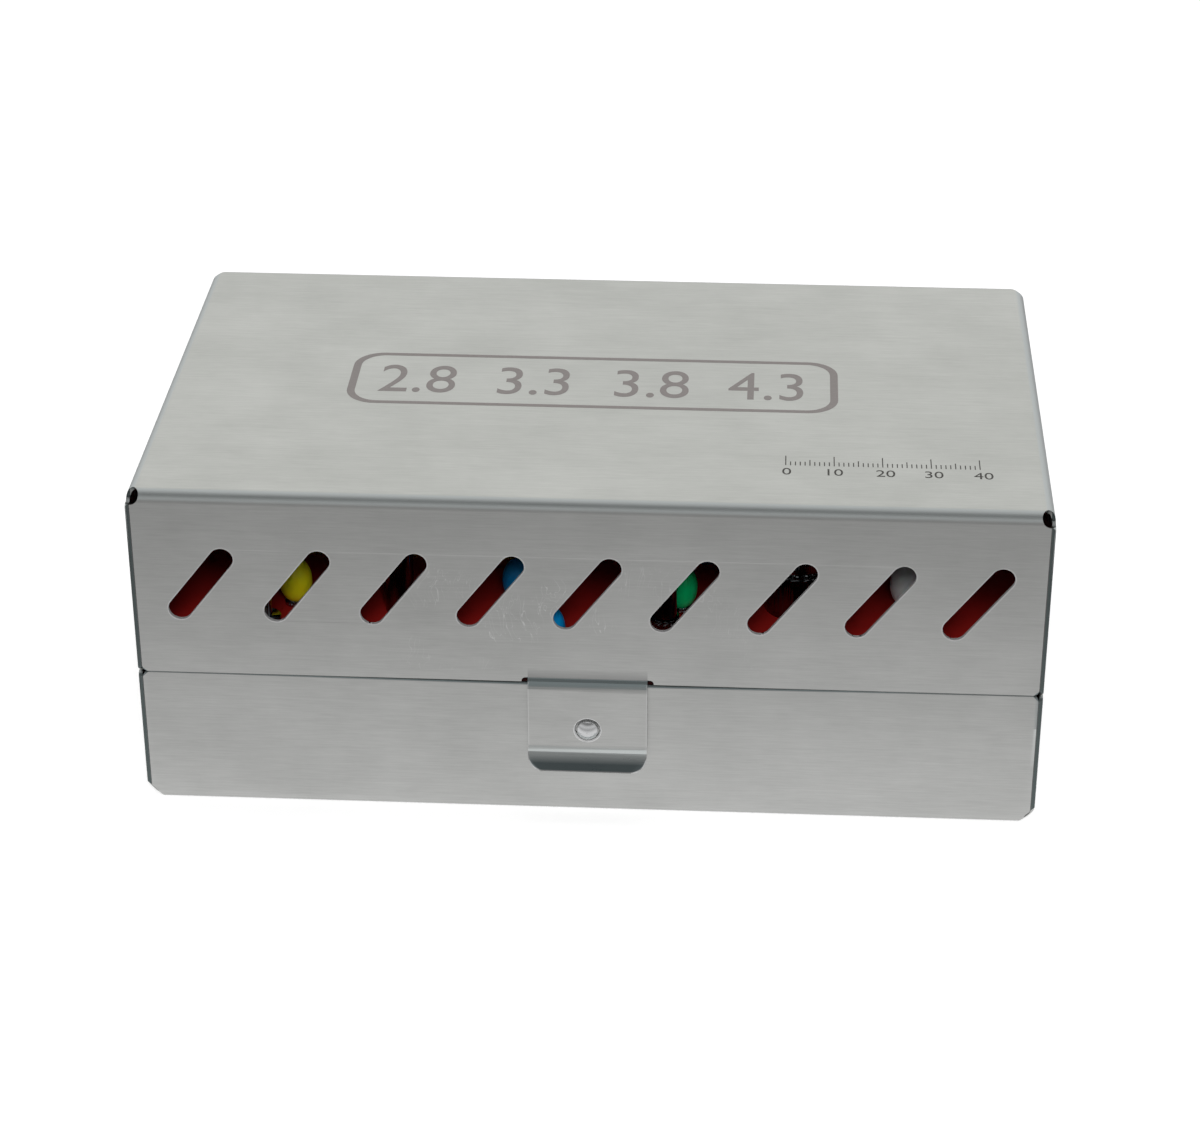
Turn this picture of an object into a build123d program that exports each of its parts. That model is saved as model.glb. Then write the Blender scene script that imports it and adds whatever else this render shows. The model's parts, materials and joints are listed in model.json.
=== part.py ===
from build123d import *
from math import acos, cos, pi, radians, sin, sqrt
import os

# Implant drill kit: a folded sheet-steel case with a hinged lid, a red instrument tray and 27 instruments.
# Millimetres. The origin is the centre of the case's underside, +X to the right, +Y to the hinge, +Z up.

# Case
case_width = 189.0
case_depth = 113.0
case_height = 74.6
parting_height = 32.0
parting_gap = 0.3
sheet = 0.8
bend_radius = 2.6
seam_gap = 0.1
corner_cut = 4.6
front_corner_cut = 3.6
relief_radius = 1.95
relief_inset = 1.0
relief_drop = 1.4
flange_corner = 1.2

# Vent slots in the lid's front
slot_count = 9
slot_pitch = 20.0
slot_length = 20.0
slot_width = 5.0
slot_lean = 52.4
slot_height = 53.4

# Latch tab, one sheet with the lid, and the stud that it snaps over
tab_width = 25.0
tab_root = 1.3
tab_notch_width = 1.3
tab_notch_height = 1.15
tab_notch_corner = 0.8
joggle_angle = 38.0
joggle_tight_radius = 1.0
joggle_wide_radius = 3.8
tab_flat_length = 12.75
lip_angle = 41.0
lip_radius = 3.4
lip_length = 3.7
tab_corner = 3.4
tab_easing = 0.6
latch_height = 21.2
tab_hole = 5.2
tab_hole_easing = 0.25
stud_width = 4.4
stud_shank = 3.2
stud_stand = 1.25
stud_dome = 1.0

# Hinge rolled from both back flanges
pin_width = 2.5
pin_play = 0.05
knuckle_count = 5
knuckle_length = 30.0
knuckle_gap = 0.3
curl_angle = 285.0
knuckle_relief = 0.3
pin_grip_length = 6.0

# Instrument tray
tray_clearance = 0.6
tray_stand = 4.0
tray_plate = 3.0
tray_wall = 2.0
tray_corner = 2.2
tray_edge = 0.7
hole_clearance = 0.15

# Latch shank of every rotary instrument
shank_width = 2.35
shank_length = 13.0
shank_flat_length = 2.6
shank_flat_depth = 0.6
shank_groove_width = 0.7
shank_groove_depth = 0.35
shank_groove_place = 2.6

# Conical drills: one silicone holder for each diameter, four lengths in each
drill_colours = ["yellow", "blue", "green", "white"]
thinnest_drill = 2.8
drill_width_step = 0.5
drill_labels = ["8", "10", "12", "14"]
shortest_drill = 8.0
drill_length_step = 2.0
drill_pitch = 16.0
drill_collar_width = 5.6
drill_collar_height = 2.6
drill_neck = 5.0
drill_taper = 0.62
drill_point_angle = 60.0
flute_count = 3
flute_depth = 0.4
flute_half_angle = 20.0
land_sides = 3
holder_rim = 3.6
holder_flange = 1.2
holder_lap = 1.6
holder_side_margin = 4.5
holder_front_row = 52.0

# Finger drivers with an egg-shaped silicone grip
grip_width = 7.2
grip_height = 9.8
grip_foot_width = 3.4
grip_widest = 0.46
grip_bands = 8
grip_sides = 20
driver_flange_width = 5.0
driver_flange_height = 1.0
driver_core_width = 2.4
driver_stem_width = 3.0
driver_hex = 1.3
driver_hex_length = 8.0
driver_long_stem = 14.0
driver_short_stem = 9.0

# Single instruments
gauge_width = 5.0
gauge_collar_width = 6.2
gauge_collar_height = 2.2
gauge_height = 22.0
gauge_rod_width = 2.0
gauge_rod_length = 18.0
sleeve_width = 6.2
sleeve_height = 17.0
sleeve_spigot_width = 4.0
sleeve_spigot_length = 9.0
wheel_width = 14.0
wheel_height = 15.0
wheel_waist = 0.8
wheel_stem_width = 4.0
wheel_stem_length = 16.0
lance_collar_width = 6.2
lance_collar_height = 3.0
lance_width = 2.0
lance_length = 14.0
pilot_width = 2.0
pilot_length = 17.0

# Places on the tray: from the case's middle, and back from its front
driver_places = {
    "yellow": (-64.2, 24.0, driver_long_stem),
    "blue_long": (-16.3, 26.5, driver_long_stem),
    "blue_short": (-8.6, 6.5, driver_short_stem),
    "green": (18.5, 25.5, driver_long_stem),
    "white": (66.7, 29.0, driver_long_stem),
}
lance_place = (-69.0, 13.0)
gauge_place = (15.4, 18.6)
sleeve_place = (-41.6, 22.5)
wheel_place = (43.3, 28.5)
pilot_from_left = 9.5

# Ratchet wrench lying along the back of the tray
wrench_right = 40.0
wrench_from_back = 17.0
wrench_lift = 4.0
head_width = 16.0
head_height = 7.0
head_lip = 1.0
handle_width = 7.0
handle_length = 78.0
knob_width = 9.0
knob_length = 12.0
ratchet_teeth = 24
ratchet_width = 11.6
ratchet_tooth = 0.7
ratchet_socket = 6.35
ratchet_play = 0.08
cover_height = 0.8
cover_wall = 1.3
pawl_width = 3.0
pawl_length = 8.0
pawl_nose = 0.5
pawl_play = 0.05
pawl_travel = 1.0
spring_wire = 0.4
spring_turns = 4
rest_width = 8.0
rest_length = 12.0
rest_places = (0.35, 0.8)

# Derived places
front = -case_depth / 2
back = case_depth / 2
tray_floor = sheet
tray_top = parting_height + tray_stand
knuckle_bore = pin_width / 2 + pin_play
knuckle_radius = knuckle_bore + sheet
hinge_y = back - sheet + knuckle_radius
hinge_z = parting_height
wrench_place = (wrench_right, case_depth - wrench_from_back)
pilot_place = (pilot_from_left - case_width / 2, holder_front_row)
drill_span = drill_pitch * (len(drill_labels) - 1)
drill_widths = {}
for index, colour in enumerate(drill_colours):
    drill_widths[colour] = thinnest_drill + drill_width_step * index
standing = (Align.CENTER, Align.CENTER, Align.MIN)
front_plane = Plane(origin=(0, front, 0), x_dir=(1, 0, 0), z_dir=(0, -1, 0))


def corner_spandrel(radius):
    """What rounding takes off a square corner at a plane's origin, the panel lying below and to the left."""
    square = Pos(-radius / 2, -radius / 2) * Rectangle(radius, radius)
    return square - Pos(-radius, -radius) * Circle(radius)


def folded_pan(height):
    """An open pan folded from one blank: its floor at z = 0, and the long flanges tucked between the ends."""
    outer = Box(case_width, case_depth, height, align=standing)
    outer = fillet(outer.edges().group_by(Axis.Z)[0], bend_radius)
    inner = Box(case_width - 2 * sheet, case_depth - 2 * sheet, height, align=standing)
    inner = fillet(inner.edges().group_by(Axis.Z)[0], bend_radius - sheet)
    pan = outer - Pos(0, 0, sheet) * inner
    seam = Box(seam_gap, 2 * sheet, height, align=standing)
    long_flange_end = case_width / 2 - sheet - seam_gap
    for side in (-1, 1):
        for end in (-1, 1):
            pan -= Pos(side * (long_flange_end + seam_gap / 2), end * case_depth / 2, bend_radius) * seam
            long_corner = Plane(
                origin=(side * long_flange_end, end * (case_depth - sheet) / 2, height),
                x_dir=(side, 0, 0),
                z_dir=(0, -side, 0),
            )
            pan -= extrude(long_corner * corner_spandrel(flange_corner), amount=0.6 * sheet, both=True)
            end_corner = Plane(
                origin=(side * (case_width - sheet) / 2, end * case_depth / 2, height),
                x_dir=(0, end, 0),
                z_dir=(end, 0, 0),
            )
            pan -= extrude(end_corner * corner_spandrel(flange_corner), amount=0.6 * sheet, both=True)
    return pan


def cut_corner(pan, side, end, leg):
    """Cuts one floor corner off a pan along a plane that leaves all three faces at the same distance."""
    face = Plane(origin=(side * (case_width / 2 - leg), end * case_depth / 2, 0), z_dir=(side, end, -1))
    return split(pan, bisect_by=face, keep=Keep.BOTTOM)


def strip_side(start, heading, bends, offset):
    """One face line of a bent strip, drawn a distance to the left of its middle line."""
    point = start + Vector(-heading.Y, heading.X) * offset
    lines = []
    for length, radius, turn in bends:
        if length > 0:
            lines.append(Line(point, point + heading * length))
            point = lines[-1] @ 1
        if turn != 0:
            inside = offset if turn > 0 else -offset
            lines.append(JernArc(point, heading, radius - inside, turn))
            point = lines[-1] @ 1
            heading = lines[-1] % 1
    return lines, point


def bent_strip(start, heading, bends, width):
    """A strip of sheet bent in the YZ plane, centred on x = 0. Each bend is a length, radius and turn."""
    left, left_end = strip_side(start, heading, bends, sheet / 2)
    right, right_end = strip_side(start, heading, bends, -sheet / 2)
    ends = [Line(left_end, right_end), Line(left[0] @ 0, right[0] @ 0)]
    face = make_face(Curve() + left + right + ends)
    return extrude(Plane.YZ * face, amount=width / 2, both=True)


def knuckle_centres(parity):
    """The middles of every second knuckle: parity 0 for the base's, 1 for the lid's."""
    pitch = knuckle_length + knuckle_gap
    first = -pitch * (knuckle_count - 1) / 2
    return [first + pitch * index for index in range(parity, knuckle_count, 2)]


def add_knuckles(shell, own, other, upward):
    """Rolls a flange's own knuckles round the pin and cuts room in the flange for the other's."""
    room = knuckle_radius + knuckle_relief
    for centre in knuckle_centres(other):
        gap = Box(knuckle_length + 2 * knuckle_gap, 2 * sheet, 2 * room)
        shell -= Pos(centre, back, hinge_z) * gap
    own_room = Box(knuckle_length, 3 * sheet, room, align=standing)
    for centre in knuckle_centres(own):
        shell -= Pos(centre, back, hinge_z - (room if upward else 0)) * own_room
        start = Vector(back - sheet / 2, hinge_z - room if upward else hinge_z + room)
        heading = Vector(0, 1 if upward else -1)
        turn = -curl_angle if upward else curl_angle
        roll = bent_strip(start, heading, [(room, knuckle_radius - sheet / 2, turn)], knuckle_length)
        shell += Pos(centre, 0, 0) * roll
    return shell


def base_shell():
    shell = folded_pan(parting_height - parting_gap / 2)
    for side in (-1, 1):
        for end in (-1, 1):
            shell = cut_corner(shell, side, end, corner_cut)
    shell = add_knuckles(shell, 0, 1, True)
    stud_hole = Cylinder(stud_shank / 2, 3 * sheet, rotation=(90, 0, 0))
    shell -= Pos(0, front, latch_height) * stud_hole
    easing_side = sqrt(2) * tab_easing
    easing = Rot(45, 0, 0) * Box(tab_width + 2 * seam_gap, easing_side, easing_side)
    return shell - Pos(0, front, parting_height - parting_gap / 2) * easing


def latch_tab():
    """The springy tab, stepped out over the base, holed for the stud and flared at the bottom."""
    start = Vector(front + sheet / 2, parting_height + tab_root)
    bends = [
        (0, joggle_tight_radius, -joggle_angle),
        (0, joggle_wide_radius, joggle_angle),
        (tab_flat_length, lip_radius, -lip_angle),
        (lip_length, 0, 0),
    ]
    tab = bent_strip(start, Vector(0, -1), bends, tab_width)
    lowest = tab.bounding_box().min
    across = Vector(0, cos(radians(lip_angle)), -sin(radians(lip_angle)))
    edge = Vector(0, lowest.Y, lowest.Z + sheet * sin(radians(lip_angle)))
    for side in (-1, 1):
        origin = edge + Vector(side * tab_width / 2, 0, 0)
        corner = Plane(origin=origin, x_dir=(side, 0, 0), z_dir=across * side)
        tab -= extrude(corner * corner_spandrel(tab_corner), amount=2 * sheet, both=True)
    stand = (joggle_tight_radius + joggle_wide_radius) * (1 - cos(radians(joggle_angle)))
    hole = Cylinder(tab_hole / 2, 12 * sheet, rotation=(90, 0, 0))
    wide = tab_hole / 2 + tab_hole_easing
    easing_depth = 2 * tab_hole_easing
    easing = Cone(wide, wide - easing_depth, easing_depth, rotation=(-90, 0, 0))
    return tab - Pos(0, front, latch_height) * (hole + Pos(0, tab_hole_easing - stand, 0) * easing)


def lid_shell():
    shell = folded_pan(case_height - parting_height - parting_gap / 2)
    for side in (-1, 1):
        shell = cut_corner(shell, side, 1, corner_cut)
        shell = cut_corner(shell, side, -1, front_corner_cut)
        relief_x = side * (case_width / 2 - relief_inset)
        shell -= Pos(relief_x, front + relief_inset, relief_drop) * Sphere(relief_radius)
    shell = Pos(0, 0, case_height) * mirror(shell, about=Plane.XY)
    slot = SlotOverall(slot_length, slot_width, rotation=slot_lean)
    for place in GridLocations(slot_pitch, 1, slot_count, 1):
        shell -= extrude(front_plane * Pos(0, slot_height) * place * slot, amount=2 * sheet, both=True)
    notches = RectangleRounded(tab_width + 2 * tab_notch_width, 2 * tab_notch_height, tab_notch_corner)
    shell -= extrude(front_plane * Pos(0, parting_height) * notches, amount=2 * sheet, both=True)
    root = Box(tab_width, 3 * sheet, tab_root, align=standing)
    shell -= Pos(0, front, parting_height) * root
    shell += latch_tab()
    return add_knuckles(shell, 1, 0, False)


def hinge_pin():
    """One pin through all the knuckles, its ends swelled so that they grip the base's two end knuckles."""
    length = knuckle_count * (knuckle_length + knuckle_gap) - knuckle_gap
    pin = Cylinder(pin_width / 2, length, rotation=(0, 90, 0))
    grip = Cylinder(knuckle_bore, pin_grip_length, rotation=(0, 90, 0))
    for side in (-1, 1):
        pin += Pos(side * (length - pin_grip_length) / 2, 0, 0) * grip
    return Pos(0, hinge_y, hinge_z) * pin


def latch_stud():
    """A domed stud clinched flush into the base's front."""
    dome_radius = ((stud_width / 2) ** 2 + stud_dome**2) / (2 * stud_dome)
    profile = make_face(
        Polyline(
            (0, stud_stand + stud_dome), (0, -sheet), (stud_shank / 2, -sheet), (stud_shank / 2, 0),
            (stud_width / 2, 0), (stud_width / 2, stud_stand),
        )
        + RadiusArc((stud_width / 2, stud_stand), (0, stud_stand + stud_dome), -dome_radius)
    )
    stud = revolve(Plane.XZ * profile, Axis.Z)
    return Pos(0, front, latch_height) * Rot(90, 0, 0) * stud


def turned(*points):
    """A turned piece on the Z axis, from radius and height pairs that start and end on the axis."""
    return revolve(Plane.XZ * make_face(Polyline(*points, close=True)), Axis.Z)


def faceted(rings):
    """A solid with flat sides through rings of corners, from the lowest up. One corner alone is a point."""
    faces = []
    for low, high in zip(rings, rings[1:]):
        count = max(len(low), len(high))
        for index in range(count):
            after = (index + 1) % count
            corners = [low[index], low[after]] if len(low) > 1 else [low[0]]
            corners += [high[after], high[index]] if len(high) > 1 else [high[0]]
            faces.append(Face(Wire.make_polygon(corners)))
    for ring in (rings[0], rings[-1]):
        if len(ring) > 1:
            faces.append(Face(Wire.make_polygon(ring)))
    return Solid(Shell(faces))


def latch_shank(bottom):
    """A rotary instrument's latch shank: round, with a ring groove and a driving flat at its end."""
    radius = shank_width / 2
    top = bottom + shank_length
    neck = top - shank_groove_place
    shank = turned(
        (0, bottom), (radius, bottom), (radius, neck - shank_groove_width),
        (radius - shank_groove_depth, neck - shank_groove_width), (radius - shank_groove_depth, neck),
        (radius, neck), (radius, top), (0, top),
    )
    flat = Box(shank_width, shank_width, shank_flat_length, align=(Align.MIN, Align.CENTER, Align.MAX))
    return shank - Pos(radius - shank_flat_depth, 0, top) * flat


def fluted_ring(radius, height):
    """The corners of a drill's cross-section: flat-sided lands with a V-shaped groove between them."""
    corners = []
    pitch = 360 / flute_count
    land = (pitch - 2 * flute_half_angle) / land_sides
    for flute in range(flute_count):
        start = radians(flute * pitch)
        root = radius * (1 - flute_depth)
        corners.append((root * cos(start), root * sin(start), height))
        for side in range(land_sides + 1):
            angle = start + radians(flute_half_angle + side * land)
            corners.append((radius * cos(angle), radius * sin(angle), height))
    return corners


def conical_drill(width, length, seat):
    """A conical drill standing point down, its collar on the holder and its latch shank up."""
    radius = width / 2
    end_radius = radius * drill_taper
    shoulder = seat - drill_neck
    end = shoulder - length
    point = end - end_radius / sin(radians(drill_point_angle))
    body = faceted([[(0, 0, point)], fluted_ring(end_radius, end), fluted_ring(radius, shoulder)])
    collar_radius = drill_collar_width / 2
    collar_top = seat + drill_collar_height
    stem = turned(
        (0, shoulder), (radius, shoulder), (radius, seat), (collar_radius, seat),
        (collar_radius, collar_top), (0, collar_top),
    )
    return stem + body + latch_shank(collar_top)


def plain_drill(width, length, collar_width, collar_height, point_length):
    """The lance and the pilot: a straight slim body, a tall collar on the tray and a latch shank."""
    radius = width / 2
    end = tray_top - tray_plate - length
    collar_radius = collar_width / 2
    collar_top = tray_top + collar_height
    body = turned(
        (0, end - point_length), (radius, end), (radius, tray_top), (collar_radius, tray_top),
        (collar_radius, collar_top), (0, collar_top),
    )
    return body + latch_shank(collar_top)


def driver_stem(stem_length):
    """A finger driver's steel core: hex point, stem, flange on the tray and a pin inside the grip."""
    flange_top = tray_top + driver_flange_height
    core = driver_core_width / 2
    stem = driver_stem_width / 2
    stem_end = tray_top - stem_length
    steel = turned(
        (0, stem_end), (stem, stem_end), (stem, tray_top), (driver_flange_width / 2, tray_top),
        (driver_flange_width / 2, flange_top), (core, flange_top),
        (core, flange_top + grip_height / 2), (0, flange_top + grip_height / 2),
    )
    point = extrude(RegularPolygon(driver_hex / 2, 6, major_radius=False), amount=-driver_hex_length)
    return steel + Pos(0, 0, stem_end) * point


def driver_grip():
    """The egg-shaped grip moulded over the core, standing on its flange, drawn with flat facets."""
    bottom = tray_top + driver_flange_height
    top = bottom + grip_height
    core = driver_core_width / 2
    foot = grip_foot_width / 2
    end = bottom + grip_height / 2
    radius = grip_width / 2
    widest = bottom + grip_widest * grip_height
    lowest = -acos(foot / radius)
    below = (bottom - widest) / sin(lowest)
    rings = []
    for band in range(grip_bands):
        angle = lowest + (pi / 2 - lowest) * band / grip_bands
        height = widest + (below if angle < 0 else top - widest) * sin(angle)
        turns = [2 * pi * side / grip_sides for side in range(grip_sides)]
        reach = radius * cos(angle)
        rings.append([(reach * cos(turn), reach * sin(turn), height) for turn in turns])
    egg = faceted(rings + [[(0, 0, top)]])
    return egg - Pos(0, 0, bottom) * Cylinder(core, end - bottom, align=standing)


def holder_outline(inset):
    """The outline of a holder's rim, or with an inset that of the plug under it."""
    length = drill_span + drill_collar_width + 2 * holder_rim
    width = drill_collar_width + 2 * holder_rim
    return RectangleRounded(length - 2 * inset, width - 2 * inset, width / 2 - inset - 0.1)


def drill_holder(width):
    """A silicone strip pressed into the tray, with a hole for each length of one drill diameter."""
    rim = extrude(Pos(0, 0, tray_top) * holder_outline(0), amount=holder_flange)
    plug = extrude(Pos(0, 0, tray_top) * holder_outline(holder_lap), amount=-tray_plate)
    holder = rim + plug
    for place in GridLocations(drill_pitch, 1, len(drill_labels), 1):
        holder -= place * Pos(0, 0, tray_top) * Cylinder(width / 2 + hole_clearance, 3 * tray_plate)
    return holder


def on_tray(place):
    """A location on the tray from a place counted from the case's middle and its front."""
    return Pos(place[0], front + place[1], 0)


def holder_places():
    """The four holders in two columns, the back row midway between the front row and the wrench."""
    column = (case_width / 2 - holder_side_margin) / 2
    rows = [holder_front_row, (holder_front_row + wrench_place[1]) / 2]
    places = {}
    for index, colour in enumerate(drill_colours):
        places[colour] = (column if index % 2 else -column, rows[index // 2])
    return places


def tray_holes():
    """The stem of each instrument that stands in the tray, as place and width."""
    holes = [(place[:2], driver_stem_width) for place in driver_places.values()]
    holes.append((lance_place, lance_width))
    holes.append((pilot_place, pilot_width))
    holes.append((gauge_place, gauge_rod_width))
    holes.append((sleeve_place, sleeve_spigot_width))
    holes.append((wheel_place, wheel_stem_width))
    return holes


def instrument_tray():
    """A moulded tray: a thick plate on a skirt that stands on the case's floor and guides the lid."""
    width = case_width - 2 * (sheet + tray_clearance)
    depth = case_depth - 2 * (sheet + tray_clearance)
    block = Box(width, depth, tray_top - tray_floor, align=standing)
    block = chamfer(block.edges().filter_by(Axis.Z), tray_corner)
    block = chamfer(block.edges().group_by(Axis.Z)[0], bend_radius - sheet)
    block = chamfer(block.edges().group_by(Axis.Z)[-1], tray_edge)
    hollow_height = tray_top - tray_floor - tray_plate
    hollow = Box(width - 2 * tray_wall, depth - 2 * tray_wall, hollow_height, align=standing)
    tray = Pos(0, 0, tray_floor) * (block - hollow)
    for place, stem in tray_holes():
        tray -= on_tray(place) * Pos(0, 0, tray_top) * Cylinder(stem / 2 + hole_clearance, 3 * tray_plate)
    for place in holder_places().values():
        opening = extrude(holder_outline(holder_lap), amount=2 * tray_plate, both=True)
        tray -= on_tray(place) * Pos(0, 0, tray_top) * opening
    return tray


def depth_gauge():
    top = tray_top + gauge_height
    tip = tray_top - tray_plate - gauge_rod_length
    rod = gauge_rod_width / 2
    collar = gauge_collar_width / 2
    collar_top = tray_top + gauge_collar_height
    shaft = gauge_width / 2
    gauge = turned(
        (0, tip), (rod, tip), (rod, tray_top), (collar, tray_top), (collar, collar_top), (shaft, collar_top),
        (shaft, top), (0, top),
    )
    return on_tray(gauge_place) * gauge


def drill_extension():
    top = tray_top + sleeve_height
    tip = tray_top - sleeve_spigot_length
    spigot = sleeve_spigot_width / 2
    radius = sleeve_width / 2
    sleeve = turned((0, tip), (spigot, tip), (spigot, tray_top), (radius, tray_top), (radius, top), (0, top))
    return on_tray(sleeve_place) * (sleeve + latch_shank(top))


def hand_wheel():
    """A smooth steel thumb wheel with a waist below its crown and a stem through the tray."""
    radius = wheel_width / 2
    stem = wheel_stem_width / 2
    tip = tray_top - wheel_stem_length
    top = tray_top + wheel_height
    crown = top - wheel_height / 4
    wheel = turned(
        (0, tip), (stem, tip), (stem, tray_top), (radius, tray_top), (radius, crown - 2 * wheel_waist),
        (radius - wheel_waist, crown - 2 * wheel_waist), (radius - wheel_waist, crown), (radius, crown),
        (radius, top), (0, top),
    )
    return on_tray(wheel_place) * wheel


def lying_rod(width, length):
    """A round rod from the origin towards -X."""
    return Cylinder(width / 2, length, rotation=(0, -90, 0), align=standing)


def wrench_frame():
    """The middle of the wrench's head, the handle running towards -X."""
    return on_tray(wrench_place) * Pos(0, 0, tray_top + wrench_lift + head_height / 2)


def ratchet_body():
    """The wrench's head and handle in one, with a pocket for the wheel and a bore for the pawl."""
    body = Cylinder(head_width / 2, head_height) + lying_rod(handle_width, handle_length)
    body += Pos(-handle_length, 0, 0) * lying_rod(knob_width, knob_length)
    pocket = ratchet_width / 2 + ratchet_play
    body -= Pos(0, 0, -head_height / 2 + head_lip) * Cylinder(pocket, head_height, align=standing)
    body -= Cylinder(pocket - cover_wall, 2 * head_height)
    return wrench_frame() * (body - lying_rod(pawl_width + 2 * pawl_play, pawl_bore_end()))


def pawl_start():
    """How far the pawl's shoulder stands from the head's middle at rest."""
    return ratchet_width / 2 + pawl_play


def spring_length():
    return 2 * spring_turns * 2 * spring_wire


def pawl_bore_end():
    return pawl_start() + pawl_length + spring_length() + pawl_travel


def ratchet_wheel():
    """A wheel with sloped teeth and a hexagonal socket right through it."""
    outer = ratchet_width / 2
    inner = outer - ratchet_tooth
    step = 360 / ratchet_teeth
    height = head_height - head_lip - cover_height - 2 * ratchet_play
    rim = []
    for tooth in range(ratchet_teeth):
        angle = radians(180 + step * tooth)
        late = radians(180 + step * (tooth + 0.9))
        rim.append((inner * cos(angle), inner * sin(angle)))
        rim.append((outer * cos(late), outer * sin(late)))
    wheel = extrude(make_face(Polyline(*rim, close=True)), amount=height)
    wheel -= extrude(RegularPolygon(ratchet_socket / 2, 6, major_radius=False), amount=3 * height, both=True)
    return wrench_frame() * Pos(0, 0, -head_height / 2 + head_lip + ratchet_play) * wheel


def ratchet_cover():
    """A ring pressed into the head over the wheel."""
    outer = ratchet_width / 2 + ratchet_play
    ring = Cylinder(outer, cover_height) - Cylinder(outer - cover_wall, 2 * cover_height)
    return wrench_frame() * Pos(0, 0, (head_height - cover_height) / 2) * ring


def ratchet_pawl():
    """A round plunger whose chisel nose sits in a tooth gap of the ratchet wheel."""
    plunger = lying_rod(pawl_width, pawl_length)
    nose = Polyline((0, 0), (pawl_nose, 0), (0, -pawl_width / 3), close=True)
    chisel = extrude(make_face(nose), amount=pawl_width / 3, both=True)
    return wrench_frame() * Pos(-pawl_start(), 0, 0) * (plunger + chisel)


def ratchet_spring():
    """The coil that pushes the pawl home, from the pawl's back to the end of its bore."""
    coil_radius = (pawl_width - 2 * spring_wire) / 2
    length = spring_length() - 2 * spring_wire
    helix = Helix(length / spring_turns, length, coil_radius)
    wire = Plane(origin=helix @ 0, z_dir=helix % 0) * RegularPolygon(spring_wire / 2, 4)
    coil = sweep(wire, path=helix, is_frenet=True)
    return wrench_frame() * Pos(-pawl_start() - pawl_length - spring_wire, 0, 0) * Rot(0, -90, 0) * coil


def wrench_rests():
    """Two silicone cradles on the tray, one under each end of the wrench's handle."""
    axis = tray_top + wrench_lift + head_height / 2
    height = axis - tray_top
    rest = Box(rest_width, rest_length, height, align=standing)
    rest = fillet(rest.edges().filter_by(Axis.Z), rest_width / 6)
    rest -= Pos(0, 0, height) * Cylinder(handle_width / 2, 2 * rest_width, rotation=(0, 90, 0))
    x, y = wrench_place
    places = [(x - share * handle_length, y) for share in rest_places]
    return Compound([on_tray(place) * Pos(0, 0, tray_top) * rest for place in places])


def drills():
    """Every conical drill, from the shortest on the left of its holder."""
    nodes = {}
    seat = tray_top + holder_flange
    for colour, place in holder_places().items():
        for index, label in enumerate(drill_labels):
            spot = (place[0] - drill_span / 2 + index * drill_pitch, place[1])
            length = shortest_drill + index * drill_length_step
            drill = conical_drill(drill_widths[colour], length, seat)
            nodes[f"drill_{colour}_{label}"] = on_tray(spot) * drill
    return nodes


def finger_drivers():
    """The steel core and the grip of each finger driver."""
    nodes = {}
    for name, (x, y, stem_length) in driver_places.items():
        nodes[f"driver_{name}_stem"] = on_tray((x, y)) * driver_stem(stem_length)
        nodes[f"driver_{name}_grip"] = on_tray((x, y)) * driver_grip()
    return nodes


def kit():
    """Every node of the kit by name."""
    nodes = {
        "base_shell": base_shell(),
        "lid_shell": lid_shell(),
        "hinge_pin": hinge_pin(),
        "latch_stud": latch_stud(),
        "instrument_tray": instrument_tray(),
        "wrench_rests": wrench_rests(),
    }
    for colour, place in holder_places().items():
        nodes[f"holder_{colour}"] = on_tray(place) * drill_holder(drill_widths[colour])
    nodes.update(drills())
    nodes.update(finger_drivers())
    nodes["lance_drill"] = on_tray(lance_place) * plain_drill(
        lance_width, lance_length, lance_collar_width, lance_collar_height, 3 * lance_width
    )
    nodes["pilot_drill"] = on_tray(pilot_place) * plain_drill(
        pilot_width, pilot_length, drill_collar_width, drill_collar_height, pilot_width
    )
    nodes["depth_gauge"] = depth_gauge()
    nodes["drill_extension"] = drill_extension()
    nodes["hand_wheel"] = hand_wheel()
    nodes["ratchet_body"] = ratchet_body()
    nodes["ratchet_wheel"] = ratchet_wheel()
    nodes["ratchet_cover"] = ratchet_cover()
    nodes["ratchet_pawl"] = ratchet_pawl()
    nodes["ratchet_spring"] = ratchet_spring()
    return nodes


os.makedirs("parts", exist_ok=True)
for name, shape in kit().items():
    export_step(shape, f"parts/{name}.step")
    print(name, round(shape.volume, 1))
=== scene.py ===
# %% [markdown]
# # An implant drill kit in its folded steel case
# Its lid has nine slanted slots, and through them you see a red tray, egg-shaped silicone grips and steel
# instruments. The solids come from the CAD frame, already in their places and in metres. This script adds
# what CAD leaves out: the brushed grain, the printed numbers, a knurl, laser bands, the light and the
# camera.
#
# Most tones here were found by comparing renders with one photograph, and not by measuring the materials.
# Some reflections and shadows are painted into the colours by place. The text says so wherever it is done,
# because such a colour is right for that picture and stays when the light changes.

# %% Load the frame
import json
import math

import bmesh
import bpy
from mathutils import Matrix, Vector


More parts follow.
